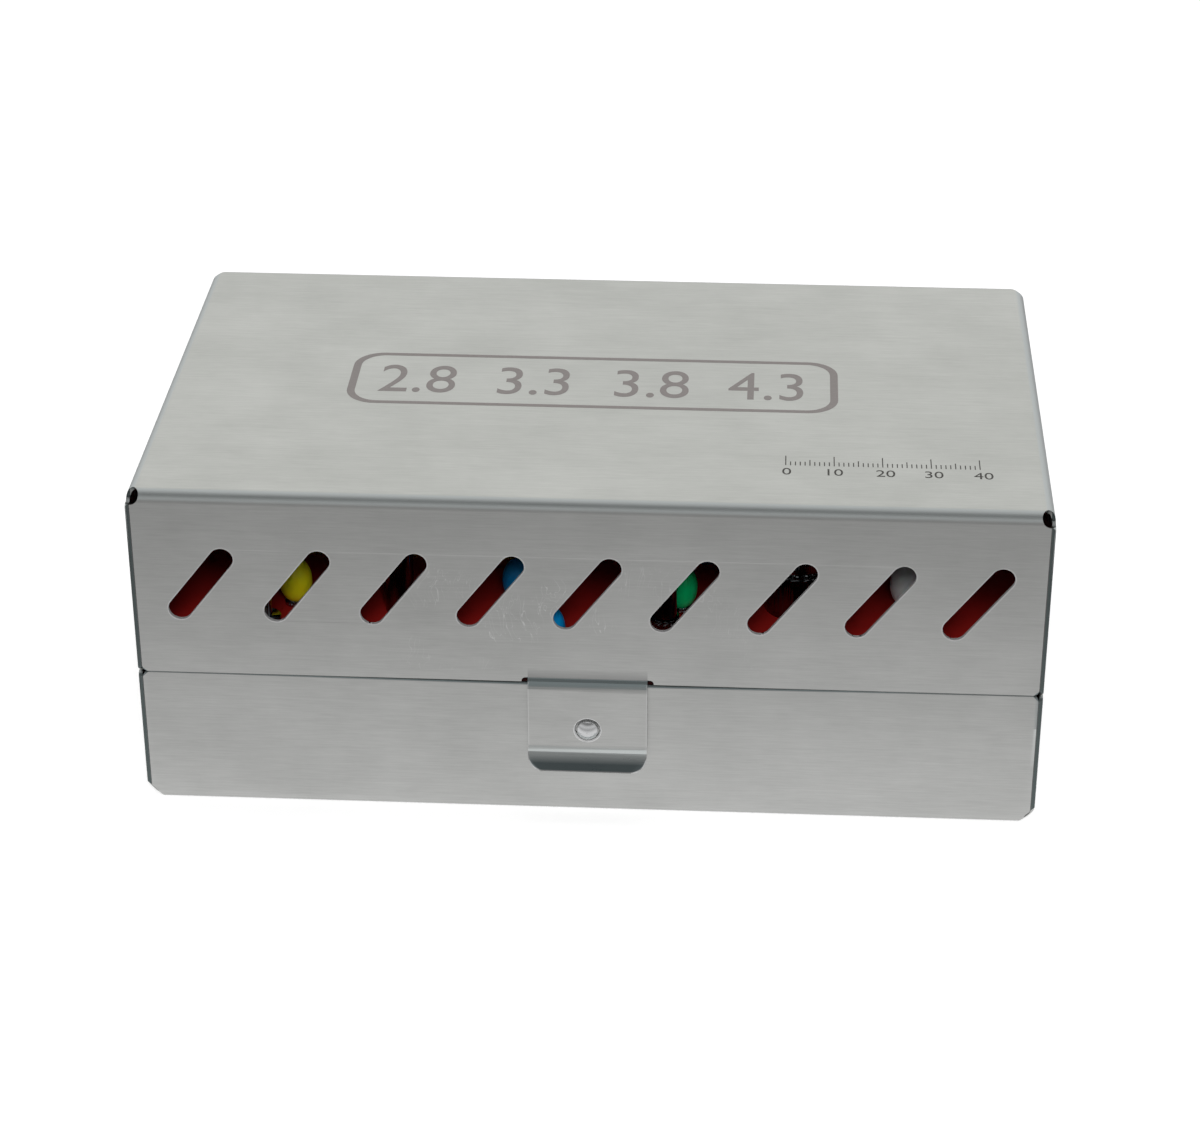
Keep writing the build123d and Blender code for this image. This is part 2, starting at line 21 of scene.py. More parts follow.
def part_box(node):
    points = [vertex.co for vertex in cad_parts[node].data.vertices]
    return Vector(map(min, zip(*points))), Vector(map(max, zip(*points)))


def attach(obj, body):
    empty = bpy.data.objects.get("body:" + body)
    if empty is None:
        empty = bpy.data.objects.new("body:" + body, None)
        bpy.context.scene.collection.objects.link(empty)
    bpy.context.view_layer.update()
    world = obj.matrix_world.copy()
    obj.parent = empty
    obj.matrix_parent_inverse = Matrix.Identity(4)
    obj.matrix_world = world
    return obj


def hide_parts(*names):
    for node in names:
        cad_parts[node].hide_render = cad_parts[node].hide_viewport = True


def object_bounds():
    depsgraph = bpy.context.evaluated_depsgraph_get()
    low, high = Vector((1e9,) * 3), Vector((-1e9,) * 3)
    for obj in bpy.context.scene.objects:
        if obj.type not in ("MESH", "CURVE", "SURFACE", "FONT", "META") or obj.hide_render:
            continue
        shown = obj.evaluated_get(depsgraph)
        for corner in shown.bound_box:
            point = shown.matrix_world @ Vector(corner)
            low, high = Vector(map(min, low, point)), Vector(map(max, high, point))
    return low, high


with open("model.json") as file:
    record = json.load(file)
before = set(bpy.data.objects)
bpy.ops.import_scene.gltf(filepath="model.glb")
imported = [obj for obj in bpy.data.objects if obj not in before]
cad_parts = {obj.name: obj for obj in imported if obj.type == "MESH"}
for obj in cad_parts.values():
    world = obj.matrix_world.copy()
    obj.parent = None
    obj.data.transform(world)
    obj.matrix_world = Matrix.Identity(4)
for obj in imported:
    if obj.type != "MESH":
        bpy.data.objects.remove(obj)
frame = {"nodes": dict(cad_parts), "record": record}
cad_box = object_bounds()
nodes = frame["nodes"]
MM = 0.001
print("nodes", len(nodes), "box", cad_box)

# %% [markdown]
# ## Camera
# The camera looks down at the case by 29 degrees, a little from the right. A long lens keeps the case's
# edges almost parallel. The place, the angles and the focal length were solved from the case's edges, so
# that the render lines up with the photograph. The distance, about 70 cm, is only as good as the length
# that the case is taken to have.

# %% Place the camera
camera_place = (0.0350, -0.6168, 0.3717)
camera_turn = (60.966, 0.082, 3.260)
camera_lens = 94.354

camera = bpy.data.objects.new("camera", bpy.data.cameras.new("camera"))
camera.data.lens = camera_lens
camera.data.sensor_width = 36.0
camera.data.clip_start = 0.01
camera.location = camera_place
camera.rotation_euler = [math.radians(angle) for angle in camera_turn]
bpy.context.scene.collection.objects.link(camera)
bpy.context.scene.camera = camera
print("camera", camera_place)

# %% [markdown]
# ## A small kit for writing materials
# A material is a graph of nodes. These helpers make one node, set its inputs and link what is given as a
# socket, so that each finish further down reads like a recipe and not like wiring.


# %% Nodes and sockets
def new_material(name):
    """An empty node material with its output node."""
    material = bpy.data.materials.new(name)
    material.use_nodes = True
    material.node_tree.nodes.clear()
    output = material.node_tree.nodes.new("ShaderNodeOutputMaterial")
    return material, output


def add(tree, kind, inputs=None, **settings):
    """One node. Inputs are numbers, colours or sockets to link, by the input's name or number."""
    node = tree.nodes.new(kind)
    for key, value in settings.items():
        setattr(node, key, value)
    for key, value in (inputs or {}).items():
        if isinstance(value, bpy.types.NodeSocket):
            tree.links.new(value, node.inputs[key])
        else:
            node.inputs[key].default_value = value
    return node


def maths(tree, operation, *values):
    """A Math node and its result."""
    return add(tree, "ShaderNodeMath", dict(enumerate(values)), operation=operation).outputs[0]


def all_of(tree, *shares):
    """The product of several shares: 1 only where all of them are."""
    product = shares[0]
    for share in shares[1:]:
        product = maths(tree, "MULTIPLY", product, share)
    return product


def vectors(tree, operation, *values):
    """A Vector Math node and its result."""
    return add(tree, "ShaderNodeVectorMath", dict(enumerate(values)), operation=operation).outputs[0]


# %% [markdown]
# Four shorter ones follow: a noise, a mix of two colours, a change of range, and a near-grey colour. Almost
# every finish is made by stretching a noise, moving it into a narrow range and mixing two colours with it.


# %% Recipes
def noise(tree, vector, scale, detail=2.0, roughness=0.5):
    """A Noise texture from 0 to 1, about 0.5 on average."""
    inputs = {"Vector": vector, "Scale": scale, "Detail": detail, "Roughness": roughness}
    return add(tree, "ShaderNodeTexNoise", inputs).outputs["Fac"]


def mixed(tree, share, low, high):
    """A colour between two others."""
    return add(tree, "ShaderNodeMix", {0: share, 6: low, 7: high}, data_type="RGBA").outputs[2]


def ranged(tree, value, low, high, new_low, new_high):
    """A value moved from one range to another, and kept inside it."""
    inputs = {"Value": value, 1: low, 2: high, 3: new_low, 4: new_high}
    return add(tree, "ShaderNodeMapRange", inputs, clamp=True).outputs[0]


def grey(level, warmth=0.0):
    """A near-grey colour, a little warm or cool."""
    return (level * (1 + warmth), level, level * (1 - warmth), 1.0)


# %% [markdown]
# ## Brushed sheet steel
# The case is folded from sheet that is brushed along its length. So the grain runs from left to right on
# the top, the front and the back, and it turns downwards with the sheet on the two end flanges. The grain is
# a noise stretched 24 times along its direction.

# %% Sizes that the finish follows
sheet = 0.8 * MM
case_half_width = (cad_box[1][0] - cad_box[0][0]) / 2
end_flange = case_half_width - sheet
front_face = -56.5 * MM
parting = 32.0 * MM
slot_count = 9
slot_pitch = 20.0 * MM
slot_height = 53.4 * MM
slot_run = 7.5 * MM
slot_half_width = 2.5 * MM
slot_lean = math.radians(52.4)
print("half width", case_half_width, "slots", slot_count, "pitch", slot_pitch)


# %% [markdown]
# Four noises add up. The finest is the grain itself, and it also gives the bump. Streaks are longer and
# wider. Clouds and smudges are the small and the large soft blotches that the photograph shows. Each moves
# the tone by only a few hundredths.


# %% Grain and smudges
def brushed_tone(tree, place, on_end):
    """How much lighter or darker the brushing is here, and the grain that also gives the bump."""
    along_x = vectors(tree, "MULTIPLY", place, (150.0, 3600.0, 3600.0))
    along_z = vectors(tree, "MULTIPLY", place, (3600.0, 3600.0, 150.0))
    grain_x = noise(tree, along_x, 1.0, 3.0, 0.65)
    grain_z = noise(tree, along_z, 1.0, 3.0, 0.65)
    grain = add(tree, "ShaderNodeMix", {0: on_end, 2: grain_x, 3: grain_z}, data_type="FLOAT").outputs[0]
    streaks = noise(tree, vectors(tree, "MULTIPLY", place, (26.0, 700.0, 700.0)), 1.0, 2.0)
    clouds = noise(tree, place, 55.0, 4.0, 0.6)
    smudges = noise(tree, vectors(tree, "MULTIPLY", place, (9.0, 22.0, 22.0)), 1.0, 3.0, 0.6)
    tone = ranged(tree, grain, 0.3, 0.7, -0.04, 0.04)
    tone = maths(tree, "ADD", tone, ranged(tree, streaks, 0.3, 0.7, -0.010, 0.010))
    tone = maths(tree, "ADD", tone, ranged(tree, clouds, 0.3, 0.7, -0.034, 0.034))
    tone = maths(tree, "ADD", tone, ranged(tree, smudges, 0.35, 0.65, -0.025, 0.02))
    return tone, grain


# %% [markdown]
# A punched slot gets a thin painted highlight along its rim, and a dull grey wall. The shader knows where the
# rims are, because a slanted slot is a line with a thickness: the distance to that line, less half the slot's
# width, is the distance to its edge. The fractional part of x over the pitch repeats one slot along the case.


# %% Distance to the nearest slot
def slot_distance(tree, x, z):
    """Metres from a point of the front to the edge of the nearest slot, less than nothing inside it."""
    turns = maths(tree, "ADD", maths(tree, "DIVIDE", x, slot_pitch), 0.5)
    across = maths(tree, "MULTIPLY", maths(tree, "SUBTRACT", maths(tree, "FRACT", turns), 0.5), slot_pitch)
    up = maths(tree, "SUBTRACT", z, slot_height)
    run = maths(tree, "MULTIPLY", across, math.cos(slot_lean))
    run = maths(tree, "ABSOLUTE", maths(tree, "ADD", run, maths(tree, "MULTIPLY", up, math.sin(slot_lean))))
    side = maths(tree, "MULTIPLY", up, math.cos(slot_lean))
    side = maths(tree, "SUBTRACT", side, maths(tree, "MULTIPLY", across, math.sin(slot_lean)))
    past = maths(tree, "MAXIMUM", maths(tree, "SUBTRACT", run, slot_run), 0.0)
    square = maths(tree, "ADD", maths(tree, "MULTIPLY", past, past), maths(tree, "MULTIPLY", side, side))
    return maths(tree, "SUBTRACT", maths(tree, "SQRT", square), slot_half_width)


# %% [markdown]
# The shader finds a bend by its normal, which points along no axis there. It gives the bends tones of their
# own further down. Hairline scratches are kept to the part of the front where the photograph has most of
# them: the middle, from the parting up to the top of the slots.


# %% Bends, scratches and marks of use
def bend_share(tree, facing):
    """0 on the flat panels and 1 on the bends."""
    axis = maths(tree, "MAXIMUM", maths(tree, "ABSOLUTE", facing[0]), maths(tree, "ABSOLUTE", facing[1]))
    axis = maths(tree, "MAXIMUM", axis, maths(tree, "ABSOLUTE", facing[2]))
    return ranged(tree, axis, 0.93, 0.995, 1.0, 0.0)


def scratch_share(tree, place, x, z):
    """Thin lines, kept to a few patches of the lid's front."""
    bent = add(tree, "ShaderNodeTexNoise", {"Vector": place, "Scale": 60.0, "Detail": 2.0}).outputs["Color"]
    swirled = vectors(tree, "ADD", place, vectors(tree, "MULTIPLY", bent, (0.012, 0.012, 0.012)))
    lines = noise(tree, vectors(tree, "MULTIPLY", swirled, (900.0, 900.0, 120.0)), 1.0, 1.0)
    thin = ranged(tree, maths(tree, "ABSOLUTE", maths(tree, "SUBTRACT", lines, 0.5)), 0.0, 0.012, 1.0, 0.0)
    patch = ranged(tree, noise(tree, place, 75.0, 2.0), 0.53, 0.60, 0.0, 1.0)
    near = ranged(tree, maths(tree, "ABSOLUTE", maths(tree, "ADD", x, 0.008)), 0.02, 0.05, 1.0, 0.0)
    high = ranged(tree, maths(tree, "ABSOLUTE", maths(tree, "SUBTRACT", z, 0.047)), 0.009, 0.015, 1.0, 0.0)
    return all_of(tree, thin, patch, near, high)


# %% [markdown]
# The tab's cut edge and the edge of its hole are thin and bright in the photograph. That is a painted
# highlight: a line at a distance from the outline, brighter along the lip than up the sides.


# %% The tab's bright edge
tab_half_width = 12.5 * MM
tab_corner = 3.4 * MM
tab_low = 12.83 * MM
lip_slope = 0.755
latch_height = 21.2 * MM


def tab_edge(tree, x, z):
    """1 where the tab's painted highlight lies: along its cut outline and round its hole."""
    side = maths(tree, "SUBTRACT", maths(tree, "ABSOLUTE", x), tab_half_width - tab_corner)
    under = maths(tree, "DIVIDE", maths(tree, "SUBTRACT", z, tab_low), lip_slope)
    under = maths(tree, "SUBTRACT", tab_corner, under)
    square_x = maths(tree, "POWER", maths(tree, "MAXIMUM", side, 0.0), 2.0)
    square_z = maths(tree, "POWER", maths(tree, "MAXIMUM", under, 0.0), 2.0)
    away = maths(tree, "SQRT", maths(tree, "ADD", square_x, square_z))
    shine = ranged(tree, z, 15.0 * MM, 17.0 * MM, 0.8, 0.3)
    line = ranged(tree, away, tab_corner - 0.3 * MM, tab_corner - 0.12 * MM, 0.0, shine)
    up = maths(tree, "SUBTRACT", z, latch_height)
    square = maths(tree, "ADD", maths(tree, "MULTIPLY", x, x), maths(tree, "MULTIPLY", up, up))
    ring = maths(tree, "LESS_THAN", maths(tree, "SQRT", square), 2.95 * MM)
    return maths(tree, "MAXIMUM", line, ring)


# %% [markdown]
# In the photograph the front is neutral and the top is a shade greener. That comes from what the top mirrors,
# and here it is painted into the top's colour as a painted reflection. Each has a dark and a light tone, and
# the brushing moves between the two.


# %% The colour of a flat panel
def panel_colour(tree, tone, facing):
    """The steel's colour where it isn't bent."""
    share = ranged(tree, tone, -0.13, 0.13, 0.0, 1.0)
    side = mixed(tree, share, (0.50, 0.505, 0.493, 1.0), (0.69, 0.694, 0.68, 1.0))
    cloudy = ranged(tree, tone, -0.1, 0.1, 0.0, 1.0)
    # The top's painted reflection: a shade greener than the front.
    top = mixed(tree, cloudy, (0.53, 0.542, 0.51, 1.0), (0.68, 0.69, 0.655, 1.0))
    on_top = maths(tree, "GREATER_THAN", facing[2], 0.9)
    return mixed(tree, on_top, side, top)


# %% [markdown]
# The tab is bent twice: once out over the parting, once more into the lip under the thumb. In the
# photograph the bends are a little blue, the lip goes from light at its top to dark at its edge, and the lid
# has a soft shade just over the tab. Those are reflections and a shadow, and all of them are painted in here
# by place. So they stay as they are when the lid opens or the light changes.


# %% The colour of the bends and of the tab
def bent_colour(tree, face, spot, bend, on_tab):
    """The steel's colour with painted reflections on the bends and tab, a painted shade and a painted edge
    highlight.
    """
    x, y, z = spot
    # Painted reflections: the tab's lip light above and dark at its edge, darker up the tab, the bends a
    # little blue.
    up_lip = ranged(tree, z, 14.1 * MM, 15.5 * MM, 0.0, 1.0)
    tab_reflection = mixed(tree, up_lip, (0.25, 0.30, 0.31, 1.0), (0.93, 0.98, 0.97, 1.0))
    up_tab = maths(tree, "GREATER_THAN", z, 24.0 * MM)
    tab_reflection = mixed(tree, up_tab, tab_reflection, (0.28, 0.325, 0.33, 1.0))
    bend_reflection = mixed(tree, on_tab, (0.60, 0.635, 0.63, 1.0), tab_reflection)
    above_floor = ranged(tree, z, 4.0 * MM, 8.0 * MM, 0.0, 1.0)
    face = mixed(tree, all_of(tree, bend, above_floor), face, bend_reflection)

    over_tab = all_of(
        tree,
        maths(tree, "LESS_THAN", maths(tree, "ABSOLUTE", x), tab_half_width),
        maths(tree, "LESS_THAN", y, front_face + 0.1 * MM),
        maths(tree, "GREATER_THAN", z, parting),
        maths(tree, "SUBTRACT", 1.0, bend),
    )
    shade = ranged(tree, z, parting + 1.5 * MM, parting + 3.6 * MM, 0.55, 0.0)
    face = mixed(tree, all_of(tree, shade, over_tab), face, grey(0.28))
    proud = maths(tree, "LESS_THAN", y, front_face - 0.5 * MM)
    # Painted highlight along the tab's cut edge and round its hole.
    return mixed(tree, all_of(tree, tab_edge(tree, x, z), proud), face, grey(0.95))


# %% [markdown]
# The thin edges of the front and back at the case's ends look nearly black in the photograph, and that dark
# reflection is painted in here. The slots get painted highlights along their rims, broken by a noise so that
# no rim is even, and grey walls.


# %% The colour of cut edges and slots
def cut_colour(tree, face, place, spot, facing):
    """The steel's colour with painted reflections on end edges and slot rims, scratches, and the slot-wall
    share.
    """
    x, y, z = spot
    # Painted dark reflection on the thin end edges of the front and back.
    across_y = maths(tree, "GREATER_THAN", maths(tree, "ABSOLUTE", facing[1]), 0.7)
    edge_x = maths(tree, "GREATER_THAN", maths(tree, "ABSOLUTE", x), end_flange + 0.02 * MM)
    face = mixed(tree, all_of(tree, edge_x, across_y), face, (0.13, 0.155, 0.155, 1.0))

    slotted = all_of(
        tree,
        maths(tree, "LESS_THAN", y, front_face + 1.1 * sheet),
        maths(tree, "GREATER_THAN", z, parting + 2.5 * MM),
        maths(tree, "LESS_THAN", maths(tree, "ABSOLUTE", x), slot_count / 2 * slot_pitch),
    )
    distance = slot_distance(tree, x, z)
    # Painted highlight along each slot's rim, broken by a noise. The real scratches share its near-white.
    highlight_breaks = ranged(tree, noise(tree, place, 240.0, 2.0), 0.35, 0.65, 0.3, 0.75)
    rim_highlight = all_of(tree, ranged(tree, distance, 0.06 * MM, 0.36 * MM, 1.0, 0.0), slotted, highlight_breaks)
    wall = all_of(tree, maths(tree, "LESS_THAN", distance, 0.05 * MM), slotted)
    scratches = all_of(tree, scratch_share(tree, place, x, z), slotted, 0.6)
    face = mixed(tree, maths(tree, "MAXIMUM", rim_highlight, scratches), face, grey(0.93))
    return mixed(tree, wall, face, grey(0.42)), wall


# %% [markdown]
# The shader joins them. Brushed metal throws its highlights across the grain, which anisotropy with a
# tangent along the grain gives without any texture. The bends are a little rougher than the panels, those
# of the tab a little smoother, and the slots' walls are the roughest and less like a mirror.


# %% Brushed sheet material
def brushed_sheet():
    """The finish of the lid and the base."""
    material, output = new_material("brushed_sheet")
    tree = material.node_tree
    coordinates = add(tree, "ShaderNodeTexCoord")
    place = coordinates.outputs["Object"]
    spot = add(tree, "ShaderNodeSeparateXYZ", {0: place}).outputs
    facing = add(tree, "ShaderNodeSeparateXYZ", {0: coordinates.outputs["Normal"]}).outputs
    on_end = maths(tree, "GREATER_THAN", maths(tree, "ABSOLUTE", facing[0]), 0.72)
    tone, grain = brushed_tone(tree, place, on_end)
    bend = bend_share(tree, facing)
    below_parting = maths(tree, "LESS_THAN", spot[2], parting + 1.7 * MM)
    on_tab = all_of(tree, below_parting, maths(tree, "LESS_THAN", spot[1], front_face + 0.3 * MM))

    face = panel_colour(tree, tone, facing)
    face = bent_colour(tree, face, spot, bend, on_tab)
    face, wall = cut_colour(tree, face, place, spot, facing)
    rough = ranged(tree, tone, -0.1, 0.1, 0.42, 0.33)
    pressing = maths(tree, "SUBTRACT", 0.08, maths(tree, "MULTIPLY", on_tab, 0.16))
    rough = maths(tree, "ADD", rough, maths(tree, "MULTIPLY", bend, pressing))
    rough = maths(tree, "ADD", rough, maths(tree, "MULTIPLY", wall, 0.3))
    metal = maths(tree, "SUBTRACT", 1.0, maths(tree, "MULTIPLY", wall, 0.6))
    bump = add(tree, "ShaderNodeBump", {"Strength": 0.16, "Distance": 0.00002, "Height": grain})
    tangent = mixed(tree, on_end, (1.0, 0.0, 0.0, 1.0), (0.0, 0.0, 1.0, 1.0))
    shader = add(tree, "ShaderNodeBsdfPrincipled", {
        "Base Color": face, "Metallic": metal, "Roughness": rough, "Anisotropic": 0.5,
        "Tangent": tangent, "Normal": bump.outputs[0],
    })
    tree.links.new(shader.outputs[0], output.inputs[0])
    return material


case_steel = brushed_sheet()
print("brushed sheet nodes", len(case_steel.node_tree.nodes))


# %% [markdown]
# ## Turned steel, plastic and silicone
# The instruments are turned, and the lathe leaves faint rings. The depth gauge carries laser-burnt bands
# every two millimetres. The tray and the grips are moulded, with a fine skin and slightly cloudy colour.
#
# The steel in the slots looks dark in the photograph. Polished steel would look dark there because it
# mirrors the dark inside of the lid, and a dark finish would too. The photograph doesn't tell which, and a
# dark level came closer to it, so the gauge, the extension and the thumb wheel have one. It is a guess.


# %% Polished steel
def polished_steel(name, level, roughness, warmth=-0.01, band_step=0.0, band_top=0.0):
    """Turned steel with faint rings, and with dark laser bands up to a height if a step is given."""
    material, output = new_material(name)
    tree = material.node_tree
    place = add(tree, "ShaderNodeTexCoord").outputs["Object"]
    rings = noise(tree, vectors(tree, "MULTIPLY", place, (60.0, 60.0, 4200.0)), 1.0, 2.0)
    polish = noise(tree, place, 300.0, 3.0)
    share = ranged(tree, rings, 0.3, 0.7, 0.0, 1.0)
    colour = mixed(tree, share, grey(level * 0.92, warmth), grey(level, warmth))
    rough = ranged(tree, polish, 0.3, 0.7, roughness * 0.8, roughness * 1.25)
    if band_step:
        height = add(tree, "ShaderNodeSeparateXYZ", {0: place}).outputs[2]
        turn = maths(tree, "FRACT", maths(tree, "DIVIDE", height, band_step))
        band = maths(tree, "LESS_THAN", turn, 0.22)
        band = maths(tree, "MULTIPLY", band, maths(tree, "LESS_THAN", height, band_top))
        colour = mixed(tree, band, colour, (0.03, 0.028, 0.03, 1.0))
        rough = maths(tree, "ADD", rough, maths(tree, "MULTIPLY", band, 0.25))
    bump = add(tree, "ShaderNodeBump", {"Strength": 0.05, "Distance": 0.00001, "Height": rings})
    shader = add(tree, "ShaderNodeBsdfPrincipled", {
        "Base Color": colour, "Metallic": 1.0, "Roughness": rough, "Normal": bump.outputs[0],
    })
    tree.links.new(shader.outputs[0], output.inputs[0])
    return material


# %% [markdown]
# Moulded parts copy the skin of their mould. A fine noise gives that skin its bump and a slightly uneven
# gloss. Silicone lets a little light in, so it gets some subsurface. The tray's skirt gets a painted shade,
# almost black, only because the notches beside the tab look black in the photograph. A real one may be red
# there.


# %% Moulded plastic and silicone
def moulded(name, colour, roughness, texture_scale, subsurface=0.0, skirt_top=0.0):
    """Moulded plastic or silicone with a fine skin and slightly cloudy colour, and painted shade below a
    skirt's top.
    """
    material, output = new_material(name)
    tree = material.node_tree
    place = add(tree, "ShaderNodeTexCoord").outputs["Object"]
    skin = noise(tree, place, texture_scale, 3.0, 0.6)
    clouds = noise(tree, place, 90.0, 3.0)
    dark = tuple(0.86 * part for part in colour) + (1.0,)
    tint = mixed(tree, ranged(tree, clouds, 0.35, 0.65, 0.0, 1.0), dark, colour + (1.0,))
    if skirt_top:
        height = add(tree, "ShaderNodeSeparateXYZ", {0: place}).outputs[2]
        # Painted shade: below its top the skirt is darkened almost to black.
        skirt_shade = ranged(tree, height, skirt_top - 1.0 * MM, skirt_top, 0.95, 0.0)
        tint = mixed(tree, skirt_shade, tint, (0.012, 0.006, 0.006, 1.0))
    rough = ranged(tree, skin, 0.3, 0.7, roughness - 0.05, roughness + 0.07)
    bump = add(tree, "ShaderNodeBump", {"Strength": 0.25, "Distance": 0.00003, "Height": skin})
    shader = add(tree, "ShaderNodeBsdfPrincipled", {
        "Base Color": tint, "Roughness": rough, "Normal": bump.outputs[0],
        "Subsurface Weight": subsurface, "Subsurface Scale": 0.001,
    })
    tree.links.new(shader.outputs[0], output.inputs[0])
    return material


# %% [markdown]
# The lid's marks are shown as etched and the tray's as printed. A stretched noise moves their colour between
# two close tones, as if wiping had worn them.


# %% Printed marks
def printed(name, low, high, roughness):
    """Etched or printed ink: two close tones, worn a little by wiping."""
    material, output = new_material(name)
    tree = material.node_tree
    place = add(tree, "ShaderNodeTexCoord").outputs["Object"]
    wear = noise(tree, vectors(tree, "MULTIPLY", place, (700.0, 2600.0, 2600.0)), 1.0, 3.0, 0.6)
    colour = mixed(tree, ranged(tree, wear, 0.35, 0.65, 0.0, 1.0), low, high)
    rough = ranged(tree, wear, 0.3, 0.7, roughness, roughness + 0.12)
    shader = add(tree, "ShaderNodeBsdfPrincipled", {"Base Color": colour, "Roughness": rough})
    tree.links.new(shader.outputs[0], output.inputs[0])
    return material


# %% [markdown]
# One value for each finish: a bright steel for the stud and the pin, a darker one for the instruments, a
# deep red tray and four colours for the diameters. The tray's and the grips' colours were set so that they
# match the photograph through the slots in this light, so they aren't the base colours of the record.


# %% Make the finishes
bright_steel = polished_steel("bright_steel", 0.86, 0.27)
instrument_steel = polished_steel("instrument_steel", 0.56, 0.15, -0.06)
graduated_steel = polished_steel("graduated_steel", 0.17, 0.12, -0.06, 2.0 * MM, 36.0 * MM)
# A low steel level that keeps these pieces dark, for the reason set out above.
dark_steel = polished_steel("dark_steel", 0.17, 0.12, -0.06)
tray_red = moulded("tray_red", (0.34, 0.014, 0.012), 0.42, 5200.0, skirt_top=35.0 * MM)
silicones = {
    "yellow": moulded("silicone_yellow", (0.84, 0.79, 0.012), 0.34, 3000.0, 0.1),
    "blue": moulded("silicone_blue", (0.0, 0.23, 0.56), 0.34, 3000.0, 0.1),
    "green": moulded("silicone_green", (0.0, 0.66, 0.21), 0.34, 3000.0, 0.1),
    "white": moulded("silicone_white", (0.74, 0.81, 0.82), 0.34, 3000.0, 0.1),
}
silicone_grey = moulded("silicone_grey", (0.12, 0.125, 0.13), 0.45, 3000.0)
etched_brown = printed("etched_brown", (0.19, 0.172, 0.165, 1.0), (0.225, 0.205, 0.197, 1.0), 0.5)
etched_dark = printed("etched_dark", (0.03, 0.028, 0.024, 1.0), (0.042, 0.039, 0.034, 1.0), 0.5)
tray_ink = printed("tray_ink", (0.66, 0.64, 0.60, 1.0), (0.74, 0.72, 0.68, 1.0), 0.5)
print("materials", len(bpy.data.materials))


# %% [markdown]
# A CAD node brings its own plain material. It is taken off, and the finish is chosen from the node's name,
# which says what the piece is. So a new drill would get its finish without another line.


# %% Dress the CAD nodes
def finish_of(name):
    """The material of a node, from what the piece is."""
    words = name.split("_")
    if name in ("base_shell", "lid_shell"):
        return case_steel
    if name in ("latch_stud", "hinge_pin"):
        return bright_steel
    if name == "instrument_tray":
        return tray_red
    if name == "wrench_rests":
        return silicone_grey
    if name == "depth_gauge":
        return graduated_steel
    if name in ("drill_extension", "hand_wheel"):
        return dark_steel
    if words[0] == "holder" or words[-1] == "grip":
        return silicones[words[1]]
    return instrument_steel


for name, piece in nodes.items():
    piece.data.materials.clear()
    piece.data.materials.append(finish_of(name))
print("dressed", len(nodes))

# %% [markdown]
# ## Smooth skins for the round pieces
# The CAD meshes are loose flat triangles, which shows on bends and shafts. A copy of each round piece is
# merged, its edges under 32 degrees are made smooth, and a weighted normal keeps its flat faces flat. The
# copy then stands for the CAD node, in the same place and on the same body.

# %% Where each node belongs
bodies = frame["record"]["behaviour"]["bodies"]
body_of_node = {node: body for body, members in bodies.items() for node in members}


def settle(piece, body, stands_for=()):
    """Links a piece, says which body it rides on, and hides the CAD nodes it stands for."""
    if piece.name not in bpy.context.scene.collection.objects:
        bpy.context.scene.collection.objects.link(piece)
    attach(piece, body)
    if stands_for:
        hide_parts(*stands_for)
    return piece


# %% [markdown]
# Smooth shading alone would bend the light on the flat panels next to a fold. The Weighted Normal modifier
# gives the large face the say, and the modifier's result is kept as a plain mesh.


# %% Merge and smooth
def smooth_copy(name):
    """A merged copy of a CAD node with smooth bends and sharp edges."""
    mesh = nodes[name].data.copy()
    shape = bmesh.new()
    shape.from_mesh(mesh)
    bmesh.ops.remove_doubles(shape, verts=shape.verts, dist=0.002 * MM)
    shape.to_mesh(mesh)
    shape.free()
    mesh.shade_smooth()
    mesh.set_sharp_from_angle(angle=math.radians(32))
    carrier = bpy.data.objects.new("skin_" + name, mesh)
    bpy.context.scene.collection.objects.link(carrier)
    weigh = carrier.modifiers.new("weigh", "WEIGHTED_NORMAL")
    weigh.keep_sharp = True
    depsgraph = bpy.context.evaluated_depsgraph_get()
    result = bpy.data.meshes.new_from_object(carrier.evaluated_get(depsgraph))
    carrier.modifiers.clear()
    carrier.data = result
    return settle(carrier, body_of_node[name], (name,))


eggs = [name for name in nodes if name.endswith("_grip")]
flat_sided = ["wrench_rests", "ratchet_wheel"]
skins = [smooth_copy(name) for name in sorted(nodes) if name not in eggs + flat_sided]
print("smooth skins", len(skins))

# %% [markdown]
# ## The egg-shaped grips
# The CAD draws each grip with flat facets, which is enough to hold and to collide. In the photograph they
# are smooth, and so are these: a profile is turned on its axis. Every ring of points is joined
# to the next one, and a ring of no width becomes a single point.


# %% Turn a profile
def lathe(name, profile, middle, sides=56):
    """A closed turned mesh from radius and height pairs, the first and last on the axis."""
    shape = bmesh.new()
    rings = []
    for radius, height in profile:
        if radius < 1e-6:
            rings.append([shape.verts.new((middle[0], middle[1], height))])
            continue
        ring = []
        for side in range(sides):
            turn = 2 * math.pi * side / sides
            ring.append(shape.verts.new((
                middle[0] + radius * math.cos(turn), middle[1] + radius * math.sin(turn), height)))
        rings.append(ring)
    for low, high in zip(rings, rings[1:]):
        for side in range(sides):
            after = (side + 1) % sides
            corners = [low[side], low[after]] if len(low) > 1 else [low[0]]
            corners += [high[after], high[side]] if len(high) > 1 else [high[0]]
            shape.faces.new(corners)
    bmesh.ops.recalc_face_normals(shape, faces=shape.faces)
    mesh = bpy.data.meshes.new(name)
    shape.to_mesh(mesh)
    shape.free()
    mesh.shade_smooth()
    mesh.set_sharp_from_angle(angle=math.radians(50))
    return bpy.data.objects.new(name, mesh)


# %% [markdown]
# The profile is an egg: the radius follows a cosine, and the height a sine with a shorter reach below the
# widest place than above it. It stands on a small flat foot, where the steel collar holds it.


# %% Place the eggs
grip_radius = 3.59 * MM
grip_foot = 1.7 * MM


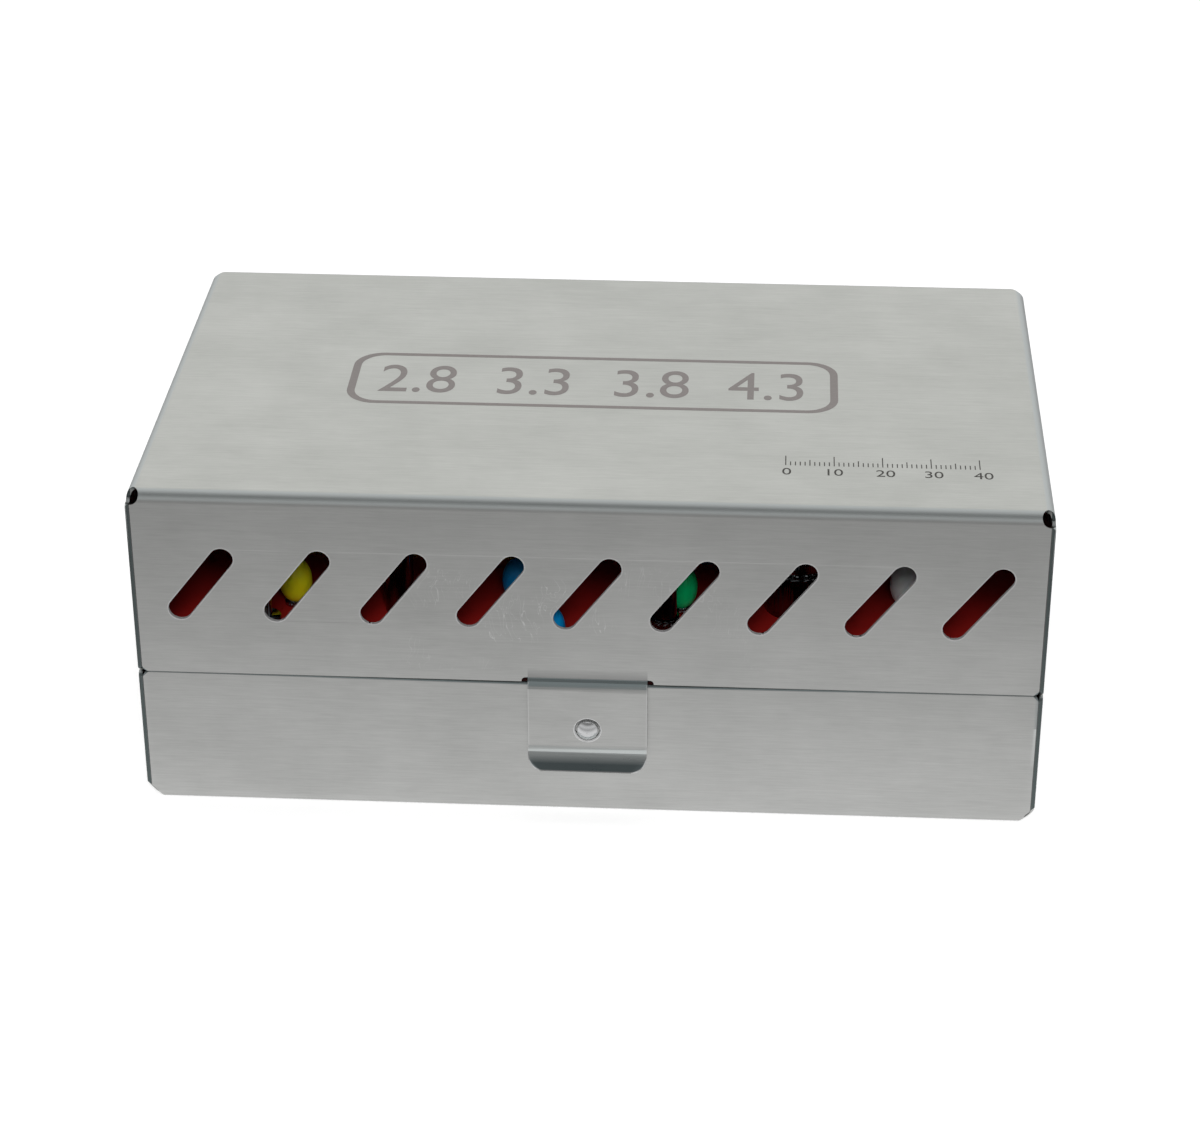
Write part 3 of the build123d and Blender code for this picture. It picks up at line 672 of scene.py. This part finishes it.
def egg_profile(low, high, radius, foot, widest=0.46, bands=30):
    """An egg that stands on a flat foot."""
    middle = low + widest * (high - low)
    start = -math.acos(foot / radius)
    below = (low - middle) / math.sin(start)
    points = [(0.0, low)]
    for band in range(bands):
        angle = start + (math.pi / 2 - start) * band / bands
        reach = below if angle < 0 else high - middle
        points.append((radius * math.cos(angle), middle + reach * math.sin(angle)))
    return points + [(0.0, high)]


for name in eggs:
    low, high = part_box(name)
    middle = ((low[0] + high[0]) / 2, (low[1] + high[1]) / 2)
    profile = egg_profile(low[2], high[2], grip_radius, grip_foot)
    egg = lathe("egg_" + name, profile, middle)
    egg.data.materials.append(finish_of(name))
    settle(egg, body_of_node[name], (name,))
print("eggs", len(eggs))

# %% [markdown]
# ## Geometry Nodes for what repeats
# A knurl is one small ridge many times over, and a scale is one tick many times over. Each is a small
# Geometry Nodes group with named inputs. The result is turned into a plain mesh before it is placed.


# %% Group helpers
def node_group(name, sockets):
    """An empty geometry group with named inputs, and the nodes that carry them in and out."""
    group = bpy.data.node_groups.new(name, "GeometryNodeTree")
    for label, kind in sockets:
        group.interface.new_socket(name=label, in_out="INPUT", socket_type=kind)
    group.interface.new_socket(name="Geometry", in_out="OUTPUT", socket_type="NodeSocketGeometry")
    return group, group.nodes.new("NodeGroupInput"), group.nodes.new("NodeGroupOutput")


def grown(name, group, values):
    """The mesh that a geometry group makes from the given values."""
    carrier = bpy.data.objects.new(name, bpy.data.meshes.new(name + "_empty"))
    bpy.context.scene.collection.objects.link(carrier)
    grow = carrier.modifiers.new("grow", "NODES")
    grow.node_group = group
    for item in group.interface.items_tree:
        if item.item_type == "SOCKET" and item.in_out == "INPUT":
            grow[item.identifier] = values[item.name]
    depsgraph = bpy.context.evaluated_depsgraph_get()
    mesh = bpy.data.meshes.new_from_object(carrier.evaluated_get(depsgraph))
    carrier.modifiers.clear()
    carrier.data = mesh
    return carrier


# %% [markdown]
# The wrench isn't seen in the photograph, and its knob is knurled as such knobs often are. One small ridge
# stands on each point of a circle and is turned to face outwards. The knob lies along the wrench, so the
# ring is turned on its side.


# %% A ring of ridges
def ridge_group():
    """A group that stands one ridge on each point of a circle."""
    sockets = [
        ("Count", "NodeSocketInt"), ("Radius", "NodeSocketFloat"), ("Ridge", "NodeSocketVector"),
        ("Material", "NodeSocketMaterial"),
    ]
    group, given, out = node_group("ring_of_ridges", sockets)
    circle = add(group, "GeometryNodeMeshCircle", {
        "Vertices": given.outputs["Count"], "Radius": given.outputs["Radius"],
    })
    ridge = add(group, "GeometryNodeMeshCube", {"Size": given.outputs["Ridge"]})
    place = add(group, "GeometryNodeInputPosition")
    outwards = {"Vector": place.outputs[0]}
    turn = add(group, "FunctionNodeAlignEulerToVector", outwards, axis="X", pivot_axis="Z")
    spread = add(group, "GeometryNodeInstanceOnPoints", {
        "Points": circle.outputs[0], "Instance": ridge.outputs[0], "Rotation": turn.outputs[0],
    })
    solid = add(group, "GeometryNodeRealizeInstances", {0: spread.outputs[0]})
    dressed = add(group, "GeometryNodeSetMaterial", {
        "Geometry": solid.outputs[0], "Material": given.outputs["Material"],
    })
    group.links.new(dressed.outputs[0], out.inputs[0])
    return group


knob_from_end = 6.0 * MM
wrench_height = 43.5 * MM
body_low, body_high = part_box("ratchet_body")
knob = grown("knob_ridges", ridge_group(), {
    "Count": 30, "Radius": 4.46 * MM, "Ridge": (0.3 * MM, 0.4 * MM, 10.0 * MM), "Material": instrument_steel,
})
knob.data.transform(Matrix.Rotation(math.radians(90), 4, "Y"))
knob_middle = (body_low[0] + knob_from_end, (body_low[1] + body_high[1]) / 2, wrench_height)
knob.data.transform(Matrix.Translation(knob_middle))
settle(knob, "case_base")
print("ridges", len(knob.data.polygons))

# %% [markdown]
# ## Marks on the lid and the tray
# The lid carries plain marks: the four drill diameters inside a rounded frame, and a 40 mm scale. Each mark
# is a film a hundredth of a millimetre proud. The scale is a row of points with a tick on each, half as long
# again at the fives and two and a half times at the tens.


# %% A scale of ticks
def tick_group():
    """A group that draws a row of ticks, longer at each fifth and tenth."""
    sockets = [
        ("Count", "NodeSocketInt"), ("Step", "NodeSocketVector"), ("Tick", "NodeSocketVector"),
        ("Material", "NodeSocketMaterial"),
    ]
    group, given, out = node_group("row_of_ticks", sockets)
    row = add(group, "GeometryNodeMeshLine", {
        "Count": given.outputs["Count"], "Offset": given.outputs["Step"],
    })
    tick = add(group, "GeometryNodeMeshCube", {"Size": given.outputs["Tick"]})
    raised = add(group, "ShaderNodeCombineXYZ", {1: 0.5})
    half = vectors(group, "MULTIPLY", given.outputs["Tick"], raised.outputs[0])
    stood = add(group, "GeometryNodeTransform", {"Geometry": tick.outputs[0], "Translation": half})
    index = add(group, "GeometryNodeInputIndex").outputs[0]
    tens = maths(group, "LESS_THAN", maths(group, "MODULO", index, 10.0), 0.5)
    fives = maths(group, "LESS_THAN", maths(group, "MODULO", index, 5.0), 0.5)
    length = maths(group, "ADD", maths(group, "MULTIPLY", fives, 0.5), 1.0)
    length = maths(group, "ADD", length, tens)
    scale = add(group, "ShaderNodeCombineXYZ", {0: 1.0, 1: length, 2: 1.0})
    spread = add(group, "GeometryNodeInstanceOnPoints", {
        "Points": row.outputs[0], "Instance": stood.outputs[0], "Scale": scale.outputs[0],
    })
    solid = add(group, "GeometryNodeRealizeInstances", {0: spread.outputs[0]})
    dressed = add(group, "GeometryNodeSetMaterial", {
        "Geometry": solid.outputs[0], "Material": given.outputs["Material"],
    })
    group.links.new(dressed.outputs[0], out.inputs[0])
    return group


# %% [markdown]
# A digit is Blender's own text, turned into a flat mesh at once. Its place and its size go into the mesh,
# because a finished piece sits at the origin, unturned and unscaled.


# %% Numbers as thin films
film = 0.012 * MM


def number(name, text, low_left, height, material, body, width=None):
    """Plain digits lying on a horizontal face, from their lower left corner, at a digit height."""
    curve = bpy.data.curves.new(name, "FONT")
    curve.body = text
    carrier = bpy.data.objects.new(name, curve)
    bpy.context.scene.collection.objects.link(carrier)
    depsgraph = bpy.context.evaluated_depsgraph_get()
    mesh = bpy.data.meshes.new_from_object(carrier.evaluated_get(depsgraph))
    bpy.data.objects.remove(carrier)
    low = [min(vertex.co[axis] for vertex in mesh.vertices) for axis in range(2)]
    high = [max(vertex.co[axis] for vertex in mesh.vertices) for axis in range(2)]
    up = height / (high[1] - low[1])
    along = width / (high[0] - low[0]) if width else up
    mesh.transform(Matrix.Translation((-low[0], -low[1], 0)))
    mesh.transform(Matrix.Diagonal((along, up, 1, 1)))
    mesh.transform(Matrix.Translation((low_left[0], low_left[1], low_left[2] + film)))
    mesh.materials.clear()
    mesh.materials.append(material)
    return settle(bpy.data.objects.new(name, mesh), body)


# %% [markdown]
# The frame is the strip between two rounded rectangles, one inside the other. Both have as many corner
# points, so each face joins two neighbours of the outer one to the same two of the inner one.


# %% The rounded frame
def rounded(half_x, half_y, radius, steps=10):
    """Corner points of a rounded rectangle, counterclockwise."""
    points = []
    for quarter, (side_x, side_y) in enumerate(((1, 1), (-1, 1), (-1, -1), (1, -1))):
        for step in range(steps + 1):
            turn = math.radians(90 * quarter + 90 * step / steps)
            points.append((
                side_x * (half_x - radius) + radius * math.cos(turn),
                side_y * (half_y - radius) + radius * math.sin(turn),
            ))
    return points


def frame_mark(name, low, high, line, radius, height, material, body):
    """A rounded frame lying on a horizontal face, with its own line width each way."""
    middle = ((low[0] + high[0]) / 2, (low[1] + high[1]) / 2)
    half = ((high[0] - low[0]) / 2, (high[1] - low[1]) / 2)
    outer = rounded(half[0], half[1], radius)
    inner = rounded(half[0] - line[0], half[1] - line[1], radius - line[1])
    count = len(outer)
    spots = [(middle[0] + x, middle[1] + y, height + film) for x, y in outer + inner]
    faces = [(i, (i + 1) % count, count + (i + 1) % count, count + i) for i in range(count)]
    mesh = bpy.data.meshes.new(name)
    mesh.from_pydata(spots, [], faces)
    mesh.materials.append(material)
    return settle(bpy.data.objects.new(name, mesh), body)


# %% [markdown]
# The frame stands near the middle of the lid, and the scale near its front right corner.


# %% Mark the lid
lid_top = cad_box[1][2]
frame_mark(
    "lid_frame", (-55.1 * MM, -13.0 * MM), (51.1 * MM, 12.3 * MM), (1.7 * MM, 1.3 * MM), 6.5 * MM, lid_top,
    etched_brown, "case_lid",
)
number(
    "lid_diameters", "2.8  3.3  3.8  4.3", (-48.4 * MM, -7.2 * MM, lid_top), 13.4 * MM,
    etched_brown, "case_lid", width=92.0 * MM,
)
scale_start = Vector((40.0, -37.5)) * MM
ticks = grown("lid_scale", tick_group(), {
    "Count": 41, "Step": (1.0 * MM, 0.0, 0.0), "Tick": (0.22 * MM, 1.7 * MM, film), "Material": etched_dark,
})
ticks.data.transform(Matrix.Translation((scale_start.x, scale_start.y, lid_top + film / 2)))
settle(ticks, "case_lid")
for tens in range(5):
    label = str(10 * tens)
    spot = (scale_start.x + 10 * tens * MM - 0.7 * MM * len(label), scale_start.y - 4.2 * MM, lid_top)
    number(f"lid_scale_{label}", label, spot, 2.9 * MM, etched_dark, "case_lid")
print("lid marks at", lid_top)


# %% [markdown]
# The tray says where each drill goes: the diameter at the start of each holder, and the drilling depth
# behind each drill. This part of the tray isn't seen in the photograph, so its marks are made up.


# %% Mark the tray
tray_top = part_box("instrument_tray")[1][2]
for colour, width in (("yellow", "2.8"), ("blue", "3.3"), ("green", "3.8"), ("white", "4.3")):
    low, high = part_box(f"holder_{colour}")
    spot = (low[0] + 1.0 * MM, high[1] + 0.7 * MM, tray_top)
    number(f"tray_width_{colour}", width, spot, 2.1 * MM, tray_ink, "case_base")
    for length in (8, 10, 12, 14):
        drill_low, drill_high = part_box(f"drill_{colour}_{length}")
        spot = ((drill_low[0] + drill_high[0]) / 2 + 2.0 * MM, high[1] + 0.7 * MM, tray_top)
        number(f"tray_{colour}_{length}", str(length), spot, 1.7 * MM, tray_ink, "case_base")
print("marks placed")

# %% [markdown]
# ## Light
# Steel shows its surroundings, so the surroundings paint the case. The camera sees a white floor and a
# white background, but the steel doesn't mirror that white: it mirrors a graded grey room and a grey card on
# the floor. A bright half behind the case lights the top, the card in front gives the front its fade, and a
# dark zone over the camera draws the dark lines along the bends. This is a made-up studio, set so that the
# steel's tones match the photograph. Two soft lamps light the tray and the grips through the slots, and are
# hidden from the steel.
#
# The floor keeps the case's shadow, because only a part of its white is its own glow.


# %% Floor
floor_half = 3.0


def floor_material():
    """White to the camera, and to reflections a card that darkens with the distance from the case."""
    material, output = new_material("floor")
    tree = material.node_tree
    path = add(tree, "ShaderNodeLightPath")
    place = add(tree, "ShaderNodeTexCoord").outputs["Object"]
    past = vectors(tree, "SUBTRACT", vectors(tree, "ABSOLUTE", place), (0.0945, 0.0565, 0.0))
    past = vectors(tree, "MAXIMUM", past, (0.0, 0.0, 0.0))
    past = vectors(tree, "MULTIPLY", past, (0.3, 1.0, 0.0))
    distance = add(tree, "ShaderNodeVectorMath", {0: past}, operation="LENGTH").outputs["Value"]
    near = ranged(tree, distance, 0.0, 0.13, 0.78, 0.42)
    level = maths(tree, "ADD", near, ranged(tree, distance, 0.13, 0.30, 0.0, -0.14))
    card = add(tree, "ShaderNodeEmission", {0: grey(1.0), 1: level})
    diffuse = add(tree, "ShaderNodeBsdfDiffuse", {0: grey(0.8)})
    sweep = ranged(tree, distance, 0.25, 0.8, 0.42, 0.75)
    white = add(tree, "ShaderNodeEmission", {0: grey(1.0), 1: sweep})
    seen = add(tree, "ShaderNodeAddShader", {0: diffuse.outputs[0], 1: white.outputs[0]})
    by_camera = add(tree, "ShaderNodeMixShader", {
        0: path.outputs["Is Camera Ray"], 1: diffuse.outputs[0], 2: seen.outputs[0],
    })
    by_gloss = add(tree, "ShaderNodeMixShader", {
        0: path.outputs["Is Glossy Ray"], 1: by_camera.outputs[0], 2: card.outputs[0],
    })
    tree.links.new(by_gloss.outputs[0], output.inputs[0])
    return material


def make_floor():
    """A wide square of floor."""
    mesh = bpy.data.meshes.new("floor")
    corners = [(-1, -1), (1, -1), (1, 1), (-1, 1)]
    mesh.from_pydata([(x * floor_half, y * floor_half, 0.0) for x, y in corners], [], [(0, 1, 2, 3)])
    floor = bpy.data.objects.new("floor", mesh)
    floor.data.materials.append(floor_material())
    bpy.context.scene.collection.objects.link(floor)


make_floor()
print("floor", 2 * floor_half, "m wide")


# %% [markdown]
# The world is a room in two halves. The half behind the case is bright nearly all over, like a paper sweep.
# The half behind the camera has a lit wall with a dark ceiling. For matt surfaces the room is a quarter
# weaker, a value that was also set against the photograph. The camera itself sees plain white.


# %% World
def level_ramp(tree, height, stops):
    """A grey level read from the height of a direction, by stops of height and level."""
    ramp = add(tree, "ShaderNodeValToRGB", {0: height})
    elements = ramp.color_ramp.elements
    elements[0].position, elements[0].color = stops[0][0], grey(stops[0][1])
    elements[1].position, elements[1].color = stops[-1][0], grey(stops[-1][1])
    for position, level in stops[1:-1]:
        elements.new(position).color = grey(level)
    return ramp.outputs[0]


def make_world():
    """A bright backdrop behind the case, and in front a lit wall under a dark ceiling."""
    world = bpy.data.worlds.new("studio")
    world.use_nodes = True
    tree = world.node_tree
    tree.nodes.clear()
    output = tree.nodes.new("ShaderNodeOutputWorld")
    direction = add(tree, "ShaderNodeTexCoord").outputs["Generated"]
    x, y, z = add(tree, "ShaderNodeSeparateXYZ", {0: direction}).outputs
    front = level_ramp(tree, z, [
        (0.0, 0.34), (0.22, 0.56), (0.42, 0.58), (0.60, 0.26),
        (0.70, 0.15), (0.84, 0.15), (0.95, 0.45), (1.0, 0.66),
    ])
    back = level_ramp(tree, z, [(0.0, 0.72), (0.35, 0.80), (0.60, 0.80), (0.85, 0.73), (1.0, 0.66)])
    level = mixed(tree, ranged(tree, y, -0.12, 0.12, 0.0, 1.0), front, back)
    path = add(tree, "ShaderNodeLightPath")
    strength = maths(tree, "SUBTRACT", 1.0, maths(tree, "MULTIPLY", path.outputs["Is Diffuse Ray"], 0.25))
    studio = add(tree, "ShaderNodeBackground", {0: level, 1: strength})
    white = add(tree, "ShaderNodeBackground", {0: grey(1.0), 1: 1.0})
    seen = add(tree, "ShaderNodeMixShader", {
        0: path.outputs["Is Camera Ray"], 1: studio.outputs[0], 2: white.outputs[0],
    })
    tree.links.new(seen.outputs[0], output.inputs[0])
    bpy.context.scene.world = world


make_world()
print("world", bpy.context.scene.world.name)


# %% [markdown]
# The lamps are wide and far enough to keep every shadow soft. They are hidden from reflections, where they
# would cut hard white bars into the brushed steel.


# %% Lamps
def soft_lamp(name, place, target, size, power):
    """A soft rectangular lamp that looks at a point and doesn't show in reflections."""
    lamp = bpy.data.lights.new(name, "AREA")
    lamp.shape = "RECTANGLE"
    lamp.size, lamp.size_y = size
    lamp.energy = power
    box = bpy.data.objects.new(name, lamp)
    box.location = place
    aim = Vector(target) - Vector(place)
    box.rotation_euler = aim.to_track_quat("-Z", "Y").to_euler()
    box.visible_glossy = False
    bpy.context.scene.collection.objects.link(box)
    return box


soft_lamp("front_box", (0.05, -0.90, 0.74), (0, 0, 0.03), (0.4, 0.28), 9.0)
soft_lamp("top_box", (0.1, 0.25, 1.3), (0, 0, 0.03), (0.9, 0.7), 3.5)
bpy.context.scene.view_settings.view_transform = "Standard"
print("lamps", len(bpy.data.lights))
